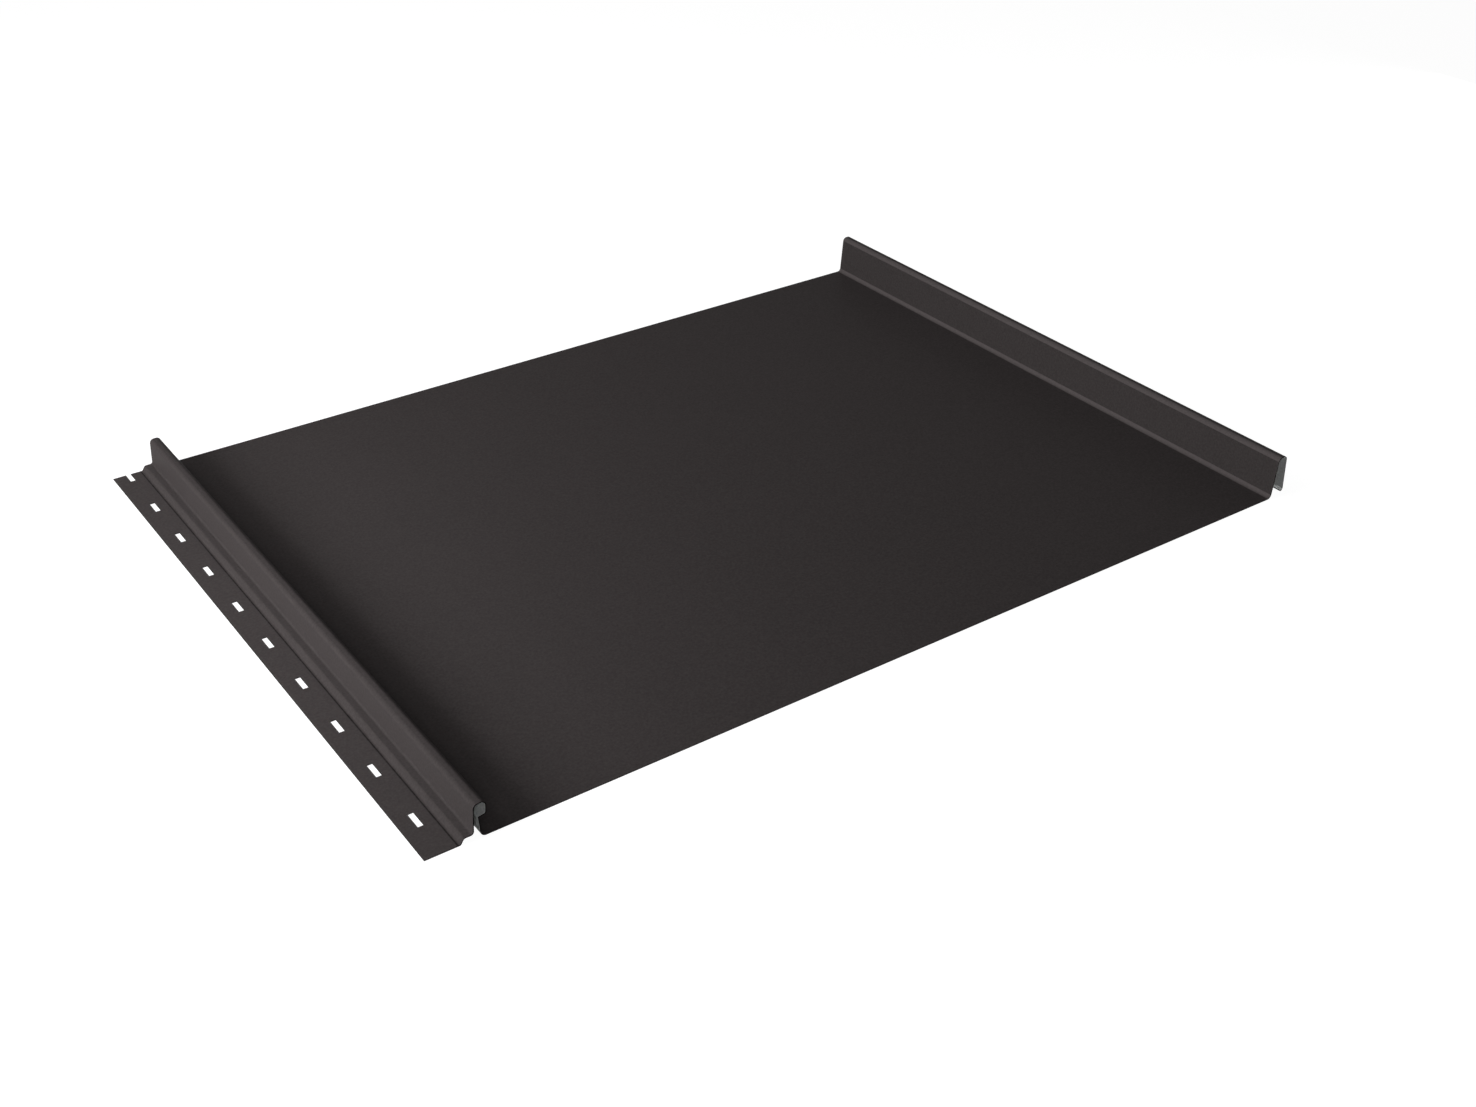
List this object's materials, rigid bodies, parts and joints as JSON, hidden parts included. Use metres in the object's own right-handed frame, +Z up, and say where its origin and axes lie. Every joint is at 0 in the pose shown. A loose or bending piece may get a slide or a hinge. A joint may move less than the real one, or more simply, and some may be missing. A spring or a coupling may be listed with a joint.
{
  "type": "standing seam roof panel",
  "caption": "Flat roll-formed steel roofing panel with a slotted nail flange and low rib on one edge and a tall click seam on the other, which covers the next panel's rib.",
  "frame": {"origin": "centre of the panel's footprint on the surface it lies on, at the pan's underside", "axes": "+X across the panel from the nail flange to the tall seam, +Y along the seams, +Z up out of the pan's painted face"},
  "size_m": [0.543, 0.4, 0.0254],
  "materials": {
    "painted_sheet": "dark brown matt polyester top coat with a fine grain, plain grey back coat, bare cut edges"
  },
  "bodies": {
    "root": {"seam_panel": "painted_sheet"}
  },
  "joints": []
}
